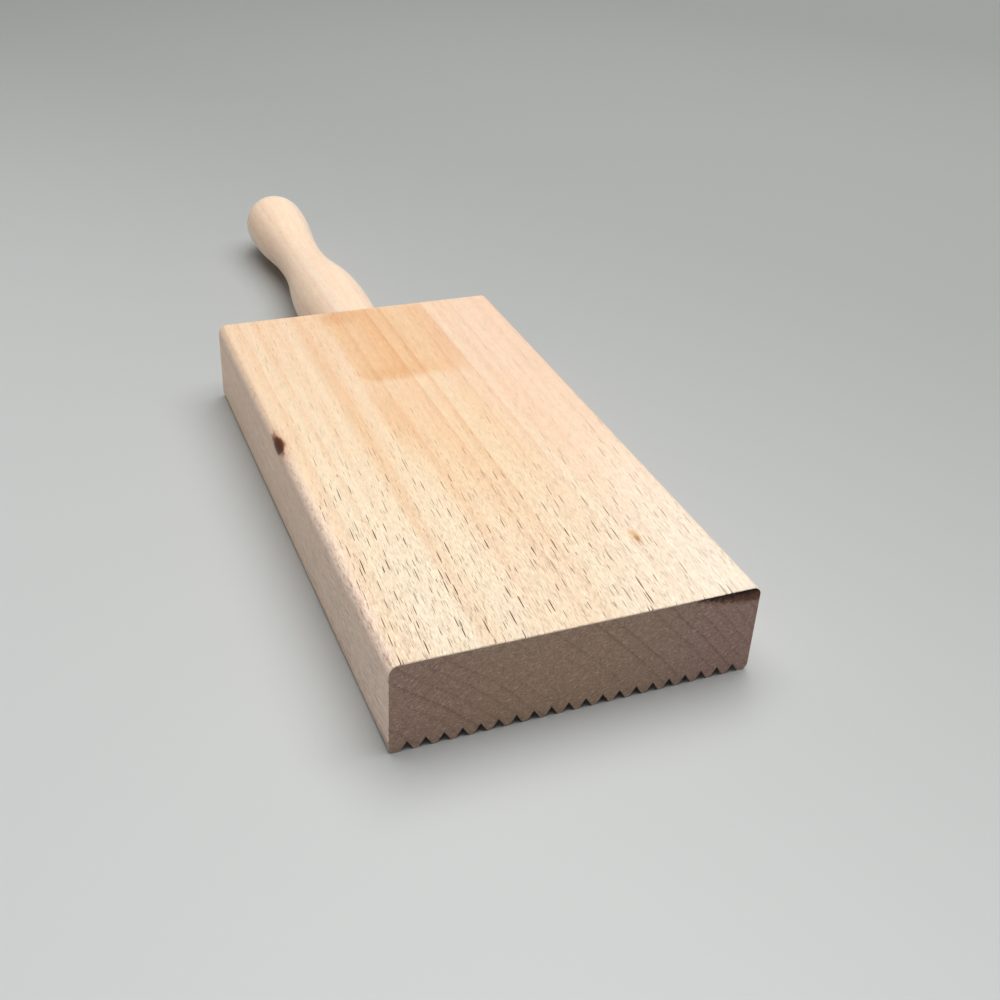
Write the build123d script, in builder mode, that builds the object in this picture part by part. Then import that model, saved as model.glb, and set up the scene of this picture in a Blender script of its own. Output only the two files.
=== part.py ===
from build123d import *
import math
import os

# Board: one beech blank, smooth on top and grooved from end to end underneath.
board_length = 122.0
board_width = 63.0
board_thickness = 17.1

# The long edges are eased by hand, the smooth face's left one the most.
smooth_left_round = 1.9
smooth_right_round = 1.6
grooved_edge_round = 1.3
end_ease = 0.1

# Each groove is a V with a sharp root; the land between two of them is rounded to a crest.
groove_pitch = 3.0
groove_depth = 1.75
crest_land = 0.8
crest_round = 0.6
least_outer_flat = 0.1
widest_round_share = 0.98

# Handle: turned between centres, with a shoulder, swell, waist, knob and rounded tip.
shoulder_diameter = 14.4
swell_diameter = 16.9
waist_diameter = 11.5
knob_diameter = 15.7
shoulder_to_swell = 21.0
swell_to_waist = 29.5
waist_to_knob = 28.8
knob_to_tip = 10.2
shoulder_ease = 0.5

# Joint: the handle's round tenon is glued into a blind bore in the board's back end.
tenon_diameter = 10.0
tenon_length = 22.0
tenon_chamfer = 1.0
glue_gap = 0.1
bore_spare_depth = 2.0

# Stations along the handle, counted from its shoulder, with the radius turned at each.
waist_place = shoulder_to_swell + swell_to_waist
knob_place = waist_place + waist_to_knob
handle_length = knob_place + knob_to_tip
grip_stations = (
    (shoulder_to_swell, swell_diameter / 2),
    (waist_place, waist_diameter / 2),
    (knob_place, knob_diameter / 2),
)

# The part lies along Y with its origin under the middle of its whole length.
overall_length = board_length + handle_length
front_end = -overall_length / 2
joint_place = front_end + board_length
joint_centre = (0, joint_place, board_thickness / 2)

# A groove's walls lean by half the V's angle, and a crest's round takes this much of its land.
half_mouth = (groove_pitch - crest_land) / 2
half_angle = math.degrees(math.atan2(half_mouth, groove_depth))
crest_turn = math.tan(math.radians((90 - half_angle) / 2))
crest_radius = min(crest_round, widest_round_share * crest_land / 2 / crest_turn)
crest_set_back = crest_radius * crest_turn

# As many grooves as leave the eased outer edges whole, centred on the width.
outer_margin = half_mouth + crest_set_back + least_outer_flat + grooved_edge_round
groove_count = 1 + math.floor((board_width - 2 * outer_margin) / groove_pitch)


# The board's end outline, drawn as the moulding cutter and the sander leave it, runs its length.
with BuildPart() as grooved_board:
    with BuildSketch(Plane.XZ.offset(-front_end)) as end_outline:
        Rectangle(board_width, board_thickness, align=(Align.CENTER, Align.MIN))
        fillet(end_outline.vertices().group_by(Axis.Y)[0], radius=grooved_edge_round)
        smooth_corners = end_outline.vertices().group_by(Axis.Y)[-1].sort_by(Axis.X)
        fillet(smooth_corners[0], radius=smooth_left_round)
        smooth_corners = end_outline.vertices().group_by(Axis.Y)[-1].sort_by(Axis.X)
        fillet(smooth_corners[-1], radius=smooth_right_round)
        with GridLocations(groove_pitch, 0, groove_count, 1):
            Polygon(
                (-half_mouth, 0),
                (half_mouth, 0),
                (0, groove_depth),
                align=None,
                mode=Mode.SUBTRACT,
            )
        resting_points = end_outline.vertices().group_by(Axis.Y)[0].sort_by(Axis.X)
        fillet(resting_points[1:-1], radius=crest_radius)
    extrude(amount=-board_length)
    # Both sawn ends are eased all round, grooves included.
    chamfer(grooved_board.faces().filter_by(Axis.Y).edges(), length=end_ease)
    # The handle's bore is drilled into the middle of the back end.
    with Locations(Plane(joint_centre, x_dir=(1, 0, 0), z_dir=(0, 1, 0))):
        Hole(radius=tenon_diameter / 2 + glue_gap, depth=tenon_length + bore_spare_depth)
grooved_board.part.label = "grooved_board"


# The handle is turned in one piece with its tenon: half its outline, spun about its axis.
with BuildPart() as turned_handle:
    with BuildSketch(Plane(joint_centre, x_dir=(0, 1, 0), z_dir=(1, 0, 0))):
        with BuildLine():
            TangentArc(grip_stations[0], (0, shoulder_diameter / 2), tangent=(-1, 0))
            for near, far in zip(grip_stations, grip_stations[1:]):
                turning_point = ((near[0] + far[0]) / 2, (near[1] + far[1]) / 2)
                TangentArc(near, turning_point, tangent=(1, 0))
                TangentArc(far, turning_point, tangent=(-1, 0))
            EllipticalCenterArc(
                (knob_place, 0),
                knob_to_tip,
                knob_diameter / 2,
                arc_size=90,
            )
            Polyline(
                (handle_length, 0),
                (-tenon_length, 0),
                (-tenon_length, tenon_diameter / 2),
                (0, tenon_diameter / 2),
                (0, shoulder_diameter / 2),
            )
        make_face()
    revolve(axis=Axis(joint_centre, (0, 1, 0)))
    round_edges = turned_handle.edges().filter_by(GeomType.CIRCLE)
    chamfer(round_edges.sort_by(Axis.Y)[0], length=tenon_chamfer)
    shoulder_edges = turned_handle.faces().filter_by(Axis.Y).sort_by(Axis.Y)[-1].edges()
    chamfer(shoulder_edges.sort_by(SortBy.RADIUS)[-1], length=shoulder_ease)
turned_handle.part.label = "turned_handle"

os.makedirs("parts", exist_ok=True)
export_step(grooved_board.part, "parts/grooved_board.step")
export_step(turned_handle.part, "parts/turned_handle.step")
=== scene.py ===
import math

import bpy
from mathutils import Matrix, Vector


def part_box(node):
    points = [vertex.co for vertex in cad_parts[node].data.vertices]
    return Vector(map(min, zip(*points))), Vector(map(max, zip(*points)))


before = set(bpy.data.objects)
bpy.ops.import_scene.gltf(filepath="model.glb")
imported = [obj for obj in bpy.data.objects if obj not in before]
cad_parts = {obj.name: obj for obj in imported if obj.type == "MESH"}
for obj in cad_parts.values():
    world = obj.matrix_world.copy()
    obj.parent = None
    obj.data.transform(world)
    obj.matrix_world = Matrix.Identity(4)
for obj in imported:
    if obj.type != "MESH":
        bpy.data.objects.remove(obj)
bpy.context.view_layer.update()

# Grooved board
# One planed blank of steamed beech, smooth on top and run over a row of V cutters underneath. It
# is left raw: its faces show the short brown dashes of cut rays, and both of its ends are sawn
# end grain, which drinks the light and looks far darker.
MM = 0.001
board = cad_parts["grooved_board"]
board_low, board_high = (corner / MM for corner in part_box("grooved_board"))
left, right = board_low.x, board_high.x
front, back = board_low.y, board_high.y
top = board_high.z

# Where the blank stood in the stem: its pith's place, and the first growth ring's radius.
board_pith = (-150.0, 0.0, -135.0)
board_first_ring = 207.6
fibre_lean = 0.045

# Growth rings: each waver in and out, darkens over its later share, and ends in a thin line.
ring_width = 2.4
ring_waver = 1.6
ring_waver_size = (14.0, 14.0, 500.0)
ring_band_start = 0.4
ring_band_strength = 0.4
ring_line_start = 0.72
ring_line_strength = 0.22
ring_line_end_gain = 2.3

# Rays, out and round and up the stem: the broad ones, and the fine ones between them. Real ones
# are half as thick, and too fine to show in the picture, so they are drawn coarser.
ray_spacing = (4.0, 0.8, 4.4)
ray_half_width = 0.08
ray_half_height = 2.4
ray_share_of_cells = 0.8
ray_strengths = (0.55, 1.5)
fine_ray_spacing = (2.5, 0.42, 2.4)
fine_ray_half_width = 0.065
fine_ray_half_height = 1.1
fine_ray_share_of_cells = 0.7
fine_ray_strength = 0.42
ray_rim = 0.25
ray_facing = (0.6, 0.86)
ray_least_seen = 0.12
ray_end_strength = 0.4

# The dashes fade towards the back, and a little towards the right edge.
dash_reach = 85.0
dash_right_start = 9.0
dash_right_share = 0.72

# Side grain: sizes of its patterns, and how far each swings the shade. Fibres are 0.02 mm thick,
# far too fine to show, so they are drawn as the bundles that the planer lifts.
tone_band_size = (4.0, 9.0, 220.0)
tone_band_edges = (0.35, 0.65)
usual_noise = (0.25, 0.75)
noise_roughness = 0.6
streak_size = (0.6, 0.6, 28.0)
streak_swing = 0.045
mottle_size = (1.0, 1.0, 2.8)
mottle_swing = 0.055
fibre_size = (0.24, 0.24, 1.5)
fibre_swing = 0.19
ragged_size = (0.6, 1.8, 0.6)

# End grain: vessels are 0.05 mm wide and drawn coarser too, as the felt that the saw leaves.
end_facing = (0.72, 0.95)
felt_size = (0.42, 0.42, 0.2)
felt_swing = 0.42
fleck_size = (1.0, 1.0, 0.2)
fleck_edges = (0.56, 0.74)
fleck_strength = 0.6
felt_turn = (0, math.radians(-25), 0)

# Relief in mm, and sheen: raw wood scatters most of the light, and sawn ends nearly all of it.
fibre_relief = 0.05
mottle_relief = 0.35
ray_relief = -0.03
felt_relief = 0.05
raw_wood_sheen = 0.25
sawn_roughness = 0.75

beech_cream = "#F5DEBD"
beech_peach = "#F3D0A9"
beech_latewood = "#E3B78E"
beech_ray = "#45260F"
beech_end = "#AA9181"
beech_end_dark = "#6D5748"
beech_end_fleck = "#DCC9B5"


def linear(code):
    """An sRGB hex colour as the linear RGBA that a shader takes."""
    shares = [int(code[i:i + 2], 16) / 255 for i in (1, 3, 5)]
    return [s / 12.92 if s <= 0.04045 else ((s + 0.055) / 1.055) ** 2.4 for s in shares] + [1]


def add(tree, kind, inputs=(), **settings):
    """Adds a node with its settings; inputs are values, nodes or sockets, in order or by name."""
    made = tree.nodes.new("ShaderNode" + kind)
    for name, value in settings.items():
        setattr(made, name, value)
    in_order = [s for s in made.inputs if s.enabled]
    for key, value in inputs.items() if isinstance(inputs, dict) else enumerate(inputs):
        socket = made.inputs[key] if isinstance(key, str) else in_order[key]
        if isinstance(value, bpy.types.Node):
            value = next(s for s in value.outputs if s.enabled)
        if isinstance(value, bpy.types.NodeSocket):
            tree.links.new(value, socket)
        else:
            socket.default_value = value
    return made


def stem_place(tree, place, pith):
    """A place in the stem in mm, out from the pith, round it and up it; and the way out."""
    from_pith = add(tree, "VectorMath", [place, pith], operation="SUBTRACT")
    side = add(tree, "SeparateXYZ", [from_pith])
    flat = add(tree, "VectorMath", [from_pith, (1, 0, 1)], operation="MULTIPLY")
    out = add(tree, "VectorMath", [flat], operation="LENGTH")
    angle = add(tree, "Math", [side.outputs["Z"], side.outputs["X"]], operation="ARCTAN2")
    turned = add(tree, "Math", [angle, math.hypot(pith[0], pith[2])], operation="MULTIPLY")
    spiral = add(tree, "Math", [side.outputs["Y"], fibre_lean, turned], operation="MULTIPLY_ADD")
    stem = add(tree, "CombineXYZ", [out, spiral, side.outputs["Y"]])
    return stem, add(tree, "VectorMath", [flat], operation="NORMALIZE")


def noise(tree, place, size, detail=2.0, turn=(0, 0, 0)):
    """Noise from 0 to 1, with its cells this many mm long each way."""
    cells = add(
        tree, "Mapping", {"Vector": place, "Scale": size, "Rotation": turn}, vector_type="TEXTURE")
    return add(
        tree, "TexNoise",
        {"Vector": cells, "Scale": 1, "Detail": detail, "Roughness": noise_roughness})


def swing(tree, pattern, reach, middle=1):
    """A pattern's usual values, spread evenly this far below and above the middle."""
    return add(tree, "MapRange", [pattern, *usual_noise, middle - reach, middle + reach])


def rays(tree, stem, spacing, half_width, half_height, share_of_cells):
    """Medullary rays, thin upright leaves of cells. Gives 1 inside a ray, and each one's chance."""
    cells = add(tree, "Mapping", {"Vector": stem, "Scale": spacing}, vector_type="TEXTURE")
    leaf = add(tree, "TexVoronoi", {"Vector": cells, "Scale": 1})
    chance = add(tree, "SeparateColor", [leaf.outputs["Color"]])
    offset = add(tree, "VectorMath", [cells, leaf.outputs["Position"]], operation="SUBTRACT")
    to_halves = (0, spacing[1] / half_width, spacing[2] / half_height)
    scaled = add(tree, "VectorMath", [offset, to_halves], operation="MULTIPLY")
    away = add(tree, "VectorMath", [scaled], operation="LENGTH")
    reach = add(tree, "MapRange", [chance.outputs["Red"], 1 - share_of_cells, 1, 0, 1])
    inside = add(tree, "Math", [reach, away], operation="SUBTRACT")
    mask = add(tree, "MapRange", [inside, 0, ray_rim, 0, 1], interpolation_type="SMOOTHSTEP")
    return mask, chance.outputs["Green"]


def marked(tree, tone, place, ragged, marks):
    """Tints the wood at each mark, which the tables of marks below describe."""
    for centre, reach, square, soft, rough, colour, strength, blend in marks:
        offset = add(tree, "VectorMath", [place, centre], operation="SUBTRACT")
        scaled = add(tree, "VectorMath", [offset, reach], operation="DIVIDE")
        for _ in range(square):
            scaled = add(tree, "VectorMath", [scaled, scaled], operation="MULTIPLY")
        away = add(tree, "VectorMath", [scaled], operation="LENGTH")
        rim = add(tree, "Math", [ragged, rough, away], operation="MULTIPLY_ADD")
        share = add(
            tree, "MapRange", [rim, 1 - soft, 1 + soft, strength, 0],
            interpolation_type="SMOOTHSTEP")
        tone = add(
            tree, "Mix", [share, tone, linear(colour)], data_type="RGBA", blend_type=blend)
    return tone


def beech(name, pith, first_ring, tones, end_tones, dashes, roughness, side_marks, end_marks):
    """A material of raw beech; dashes are how strongly rays show at the front and further back."""
    material = bpy.data.materials.new(name)
    material.use_nodes = True
    tree = material.node_tree
    cream, peach, latewood = (linear(tone) for tone in tones)
    end_plain, end_dark, end_pale = (linear(tone) for tone in end_tones)
    seen_at = add(tree, "TexCoord")
    normal = seen_at.outputs["Normal"]
    place = add(
        tree, "VectorMath", {"Vector": seen_at.outputs["Object"], "Scale": 1 / MM},
        operation="SCALE")
    stem, outward = stem_place(tree, place, pith)
    out = add(tree, "SeparateXYZ", [stem]).outputs["X"]
    ragged = add(tree, "MapRange", [noise(tree, place, ragged_size, detail=4.0), 0, 1, -0.5, 0.5])

    # Growth rings darken slowly outwards and stop at a thin latewood line, each by its own chance.
    waver = noise(tree, stem, ring_waver_size)
    count_from = -(first_ring + ring_waver / 2) / ring_width
    ring_out = add(tree, "Math", [waver, ring_waver, out], operation="MULTIPLY_ADD")
    ring_at = add(tree, "Math", [ring_out, 1 / ring_width, count_from], operation="MULTIPLY_ADD")
    ring_number = add(tree, "Math", [ring_at], operation="FLOOR")
    ring_chance = add(tree, "TexWhiteNoise", {"W": ring_number}, noise_dimensions="1D")
    ring_share = add(tree, "Math", [ring_at], operation="FRACT")
    band = add(
        tree, "MapRange", [ring_share, ring_band_start, 1, 0, ring_band_strength],
        interpolation_type="SMOOTHERSTEP")
    band = add(tree, "Math", [band, ring_chance], operation="MULTIPLY")
    line = add(tree, "MapRange", [ring_share, ring_line_start, 1, 0, ring_line_strength])
    line = add(tree, "Math", [line, ring_chance], operation="MULTIPLY")

    # Rays show as dark dashes where the surface crosses them, and fade where it runs along them.
    spot = add(tree, "SeparateXYZ", [place])
    dash_share = add(
        tree, "MapRange", [spot.outputs["Y"], front, front + dash_reach, *dashes],
        interpolation_type="SMOOTHSTEP")
    right_share = add(
        tree, "MapRange", [spot.outputs["X"], dash_right_start, right, 1, dash_right_share])
    dash_share = add(tree, "Math", [dash_share, right_share], operation="MULTIPLY")
    turned_away = add(tree, "VectorMath", [outward, normal], operation="CROSS_PRODUCT")
    turned_away = add(tree, "SeparateXYZ", [turned_away]).outputs["Y"]
    turned_away = add(tree, "Math", [turned_away], operation="ABSOLUTE")
    crossing = add(tree, "MapRange", [turned_away, *ray_facing, 1, ray_least_seen])
    ray, ray_chance = rays(
        tree, stem, ray_spacing, ray_half_width, ray_half_height, ray_share_of_cells)
    ray_depth = add(tree, "MapRange", [ray_chance, 0, 1, *ray_strengths])
    ray_share = add(tree, "Math", [ray, ray_depth], operation="MULTIPLY")
    fine_ray, _ = rays(
        tree, stem, fine_ray_spacing, fine_ray_half_width, fine_ray_half_height,
        fine_ray_share_of_cells)
    fine_share = add(tree, "Math", [fine_ray, fine_ray_strength], operation="MULTIPLY")
    seen_ray = add(tree, "Math", [ray_share, fine_share], operation="MAXIMUM")
    seen_ray = add(tree, "Math", [seen_ray, dash_share], operation="MULTIPLY")
    seen_ray = add(tree, "Math", [seen_ray, crossing], operation="MULTIPLY")

    # Side grain: soft bands of cream and peach, the marks, streaks and fine fibres, and the rays.
    broad = noise(tree, stem, tone_band_size)
    broad_share = add(tree, "MapRange", [broad, *tone_band_edges, 0, 1])
    side = add(tree, "Mix", [broad_share, cream, peach], data_type="RGBA")
    side = add(tree, "Mix", [band, side, latewood], data_type="RGBA")
    side = add(tree, "Mix", [line, side, latewood], data_type="RGBA")
    side = marked(tree, side, place, ragged, side_marks)
    streak_shade = swing(tree, noise(tree, stem, streak_size, detail=3.0), streak_swing)
    mottle = noise(tree, stem, mottle_size, detail=3.0)
    mottle_shade = swing(tree, mottle, mottle_swing)
    fibre = noise(tree, stem, fibre_size)
    fibre_part = swing(tree, fibre, fibre_swing, 0)
    fibre_shade = add(tree, "Math", [fibre_part, dash_share, 1], operation="MULTIPLY_ADD")
    shade = add(tree, "Math", [streak_shade, fibre_shade], operation="MULTIPLY")
    shade = add(tree, "Math", [shade, mottle_shade], operation="MULTIPLY")
    side = add(tree, "VectorMath", {"Vector": side, "Scale": shade}, operation="SCALE")
    side = add(tree, "Mix", [seen_ray, side, linear(beech_ray)], data_type="RGBA")

    # End grain, wherever the surface cuts squarely across the fibres: ring lines, ray lines and
    # pale flecks, felted by the saw.
    across = add(tree, "SeparateXYZ", [normal]).outputs["Y"]
    across = add(tree, "Math", [across], operation="ABSOLUTE")
    end_share = add(
        tree, "MapRange", [across, *end_facing, 0, 1], interpolation_type="SMOOTHSTEP")
    end_line = add(tree, "Math", [line, ring_line_end_gain], operation="MULTIPLY")
    end = add(tree, "Mix", [end_line, end_plain, end_dark], data_type="RGBA")
    end_ray = add(tree, "Math", [ray_share, ray_end_strength], operation="MULTIPLY")
    end = add(tree, "Mix", [end_ray, end, end_dark], data_type="RGBA")
    fleck = noise(tree, place, fleck_size, turn=felt_turn)
    fleck_share = add(tree, "MapRange", [fleck, *fleck_edges, 0, fleck_strength])
    end = add(tree, "Mix", [fleck_share, end, end_pale], data_type="RGBA")
    felt = noise(tree, place, felt_size, detail=3.0, turn=felt_turn)
    felt_shade = swing(tree, felt, felt_swing)
    end = add(tree, "VectorMath", {"Vector": end, "Scale": felt_shade}, operation="SCALE")
    end = marked(tree, end, place, ragged, end_marks)
    tone = add(tree, "Mix", [end_share, side, end], data_type="RGBA")

    # Relief: raised fibres, torn patches and sunk rays on the sides, felted pores on the ends.
    sunk_ray = add(tree, "Math", [seen_ray, ray_relief], operation="MULTIPLY")
    side_relief = add(tree, "Math", [fibre, fibre_relief, sunk_ray], operation="MULTIPLY_ADD")
    torn = add(tree, "Math", [mottle, dash_share], operation="MULTIPLY")
    side_relief = add(tree, "Math", [torn, mottle_relief, side_relief], operation="MULTIPLY_ADD")
    end_relief = add(tree, "Math", [felt, felt_relief], operation="MULTIPLY")
    relief = add(tree, "Mix", [end_share, side_relief, end_relief])
    bump = add(tree, "Bump", {"Height": relief, "Distance": MM})
    rough = add(tree, "MapRange", [end_share, 0, 1, roughness, sawn_roughness])
    shader = tree.nodes["Principled BSDF"]
    tree.links.new(tone.outputs[2], shader.inputs["Base Color"])
    tree.links.new(rough.outputs[0], shader.inputs["Roughness"])
    tree.links.new(bump.outputs[0], shader.inputs["Normal"])
    shader.inputs["Specular IOR Level"].default_value = raw_wood_sheen
    return material


# The marks that this one blank happens to have. Each gives its centre and its reach each way in
# mm, how square and how soft it is, how far the fibres fray its rim, its tint, how strong it is,
# and how it goes on the wood.
board_side_marks = [
    # a tan patch, darkest at its rims
    ((2.8, back - 17.4, top), (11.9, 17.6, 3), 2, 0.5, 0.9, "#F9EAD6", 0.9, "MULTIPLY"),
    ((-5.5, back - 2.5, top), (4.5, 3.6, 3), 0, 0.7, 0.6, "#F0DCCB", 0.6, "MULTIPLY"),
    ((-3.5, back - 32.5, top), (5.5, 2.6, 3), 0, 0.8, 0.8, "#F5E2D0", 0.4, "MULTIPLY"),
    ((6, back - 32, top), (4, 2.8, 3), 0, 0.8, 0.8, "#F5E2D0", 0.2, "MULTIPLY"),
    ((13.2, back - 22, top), (1.5, 11, 3), 0, 0.7, 0.6, "#F9E3D0", 0.25, "MULTIPLY"),
    # streaks of peach sapwood, a yellower field, and a pinker band along the right edge
    ((-15.1, back - 55, top), (1.5, 76, 3), 0, 0.7, 0.5, "#F9EDE2", 1, "MULTIPLY"),
    ((-7.8, back - 50, top), (2.2, 12, 3), 0, 0.8, 0.5, "#FAF0E6", 1, "MULTIPLY"),
    ((6, back - 75, top), (18, 34, 9), 0, 0.8, 0.3, "#FDF7EE", 1, "MULTIPLY"),
    ((right, back - 45, top), (19, 62, 20), 0, 0.6, 0.3, "#F5D6BE", 0.5, "MIX"),
    # the back, rubbed a little pinker and duller by handling
    ((4, back, top), (60, 50, 20), 0, 0.9, 0.3, "#FBF7FA", 1, "MULTIPLY"),
    # the front third, painted paler and whiter as a sheen of light, and palest at the right corner
    ((0, front, top), (70, 42, 40), 0, 0.95, 0.2, "#F6EEE0", 0.3, "MIX"),
    ((right, front, top), (17, 34, 30), 0, 0.9, 0.2, "#FFF8EC", 0.3, "MIX"),
    # the left face, pinker and paler, with tan specks towards the front
    ((left, front, top / 2), (1, 130, 16), 0, 0.7, 0.3, "#FFE2D7", 0.5, "MIX"),
    ((left, front - 8, top / 2), (1, 80, 22), 0, 0.15, 8, "#D8B7A0", 0.2, "MIX"),
    # its upper edge, painted pale as the highlight that its sanded facet catches, and specked with
    # reddish brown
    ((left, front + 28, top), (1.9, 42, 1.9), 0, 0.3, 0.9, "#FFE4CF", 0.7, "MIX"),
    ((left, front + 28, top), (0.6, 46, 0.6), 0, 0.5, 6, "#A86C50", 0.42, "MIX"),
    # a small dark knot in that edge, with its tan halo
    ((left, front + 68.5, top), (1.9, 5.6, 2.2), 0, 0.6, 0.6, "#DBA989", 0.6, "MIX"),
    ((left, front + 68.6, top - 0.3), (1.0, 4.6, 1.3), 0, 0.25, 0.7, "#6E3A1E", 0.95, "MIX"),
    ((left, front + 68.3, top - 0.3), (1.45, 2.8, 1.9), 0, 0.25, 0.7, "#6E3A1E", 0.95, "MIX"),
    ((left, front + 68.2, top - 0.6), (0.9, 2.2, 1.0), 0, 0.6, 0.9, "#3A1A0C", 0.7, "MIX"),
    # a small orange resin spot
    ((right - 13, front + 19.5, top), (0.7, 2.0, 0.6), 0, 0.7, 0.7, "#E0A963", 0.65, "MIX"),
    ((right - 13.1, front + 18.7, top), (0.3, 0.9, 0.6), 0, 0.6, 0.7, "#9A6030", 0.6, "MIX"),
    # painted shade at the mouths of the grooves, darkest at the end and fading a few mm into them,
    # where little light gets in
    ((0, front, 1.3), (right - 1.7, 4, 1.15), 2, 0.6, 0.3, "#20140C", 0.9, "MIX"),
    ((0, front, 1.3), (right - 1.7, 11, 1.15), 1, 0.8, 0.4, "#6E5039", 0.5, "MIX"),
]
board_end_marks = [
    # warmer heart-side wood in the middle, and a pinkish tinge at both sides
    ((-4, front, 6), (17, 1, 14), 0, 0.9, 0.3, "#FFF2DA", 0.4, "MULTIPLY"),
    ((right, front, 7), (16, 1, 14), 0, 0.9, 0.3, "#F6E9F4", 0.8, "MULTIPLY"),
    ((left, front, 9), (13, 1, 14), 0, 0.9, 0.3, "#FBEFF2", 0.8, "MULTIPLY"),
    # a pale line along the upper edge: pale fibres lifted by the saw, and a painted highlight where
    # the edge catches the light
    ((0, front, top), (200, 0.6, 0.2), 0, 0.5, 1.4, "#F6E4CC", 1, "MIX"),
    # a scorch from the saw, deepening into the corner
    ((right + 2, front, top + 1.5), (14.5, 1, 4.1), 0, 0.15, 0.5, "#5A3018", 0.85, "MIX"),
    ((right - 3, front, top + 0.4), (9.5, 1, 1.3), 0, 0.5, 1.6, "#170B06", 0.95, "MIX"),
]
board_tones = (beech_cream, beech_peach, beech_latewood)
board_end_tones = (beech_end, beech_end_dark, beech_end_fleck)
board_dashes = (1.25, 0.25)
planed_roughness = 0.45
board_wood = beech(
    "raw_planed_beech", board_pith, board_first_ring, board_tones, board_end_tones,
    board_dashes, planed_roughness, board_side_marks, board_end_marks)
for face in board.material_slots:
    face.material = board_wood

# Turned handle
# Turned between centres from a square stick of the same beech, sanded while it spun, and glued
# by its tenon into the board's back end. The sanding makes it paler and smoother than the board,
# closes its rays to faint dashes, and polishes its end grain to a warm tan.
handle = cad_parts["turned_handle"]
handle_pith = (70.0, 0.0, 53.0)
handle_first_ring = 50.0
handle_tones = ("#FFE3CB", "#FEDABE", "#F8D0AE")
handle_end_tones = ("#E2C2A2", "#C9A17C", "#EDD3B8")
handle_dashes = (0.2, 0.2)
sanded_roughness = 0.36
handle_wood = beech(
    "turned_sanded_beech", handle_pith, handle_first_ring, handle_tones, handle_end_tones,
    handle_dashes, sanded_roughness, [], [])
# Light spreads a few millimetres through so small and pale a piece, and softens its shading.
glow_share = 0.5
glow_reach = 4 * MM
glow_by_colour = (1, 0.7, 0.5)
handle_shader = handle_wood.node_tree.nodes["Principled BSDF"]
handle_shader.inputs["Subsurface Weight"].default_value = glow_share
handle_shader.inputs["Subsurface Radius"].default_value = glow_by_colour
handle_shader.inputs["Subsurface Scale"].default_value = glow_reach
for face in handle.material_slots:
    face.material = handle_wood

# Floor and backdrop
# One seamless sheet of pale grey studio paper, flat under the board and bent up all round it. Its
# uncoated face scatters the light; it is painted darker towards the far side and the right, as
# shade standing in for the light falling off there.
sheet_radius = 0.68
sheet_height = 0.26
sheet_sides = 128
sheet_bend = 0.2
sheet_bend_steps = 24
sharp_rim = math.radians(60)
lid_facing = 0.9
bpy.ops.object.select_all(action="DESELECT")
bpy.ops.mesh.primitive_cylinder_add(
    vertices=sheet_sides, radius=sheet_radius, depth=sheet_height,
    location=(0, 0, sheet_height / 2))
sheet = bpy.context.object
sheet.name = "backdrop"
bpy.ops.object.transform_apply(location=True)
bpy.ops.object.mode_set(mode="EDIT")
bpy.ops.mesh.select_mode(type="FACE")
bpy.ops.mesh.select_all(action="DESELECT")
bpy.ops.object.mode_set(mode="OBJECT")
for face in sheet.data.polygons:
    face.select = face.normal.z > lid_facing
bpy.ops.object.mode_set(mode="EDIT")
bpy.ops.mesh.delete(type="FACE")
bpy.ops.mesh.select_all(action="SELECT")
bpy.ops.mesh.flip_normals()
bpy.ops.object.mode_set(mode="OBJECT")
bend = sheet.modifiers.new("bend", "BEVEL")
bend.width = sheet_bend
bend.segments = sheet_bend_steps
bend.angle_limit = sharp_rim
bpy.ops.object.modifier_apply(modifier="bend")
bpy.ops.object.shade_smooth()
# painted shade: the paper's tone darkens from near to far right, standing in for light falloff
paper_near = "#C8CAC9"
paper_far_painted_shade = "#A6A8A6"
painted_shade_fade = (-0.16, 0.18)
painted_shade_way = (0.85, 0.53, 0)
paper_roughness = 0.45
paper = bpy.data.materials.new("matt_grey_studio_paper")
paper.use_nodes = True
tree = paper.node_tree
sheet_place = add(tree, "TexCoord").outputs["Object"]
away = add(tree, "VectorMath", [sheet_place, painted_shade_way], operation="DOT_PRODUCT")
away = add(tree, "MapRange", [away, *painted_shade_fade, 0, 1], interpolation_type="SMOOTHSTEP")
paper_tone = add(tree, "Mix", [away, linear(paper_near), linear(paper_far_painted_shade)], data_type="RGBA")
paper_shader = tree.nodes["Principled BSDF"]
tree.links.new(paper_tone.outputs[2], paper_shader.inputs["Base Color"])
paper_shader.inputs["Roughness"].default_value = paper_roughness
sheet.data.materials.append(paper)

# Light
# One large soft box overhead, a little to the right, and a faint even light all round.
soft_box_side = 0.8
soft_box_place = Vector((0.115, 0.045, 0.7))
soft_box_power = 7.1
room_light = 0.1
lamp = bpy.data.lights.new("overhead_soft_box", "AREA")
lamp.size = soft_box_side
lamp.energy = soft_box_power
soft_box = bpy.data.objects.new("overhead_soft_box", lamp)
soft_box.location = soft_box_place
soft_box.rotation_euler = soft_box_place.to_track_quat("Z", "Y").to_euler()
soft_box.visible_camera = False
bpy.context.scene.collection.objects.link(soft_box)
world = bpy.data.worlds.new("room")
world.use_nodes = True
room = world.node_tree.nodes["Background"]
room.inputs["Color"].default_value = linear("#FFFFFF")
room.inputs["Strength"].default_value = room_light
bpy.context.scene.world = world

# Camera
# Solved from the twenty groove roots and the board's edges in the photograph.
camera_lens = 45.82
camera_sensor = 36
camera_place = Vector((-74.7, -241.8, 136.1)) * MM
camera_turn = (57.737, -2.663, -21.887)
lens = bpy.data.cameras.new("camera")
lens.lens = camera_lens
lens.sensor_width = camera_sensor
camera = bpy.data.objects.new("camera", lens)
camera.location = camera_place
camera.rotation_euler = [math.radians(angle) for angle in camera_turn]
bpy.context.scene.collection.objects.link(camera)
bpy.context.scene.camera = camera
bpy.context.scene.view_settings.view_transform = "Standard"
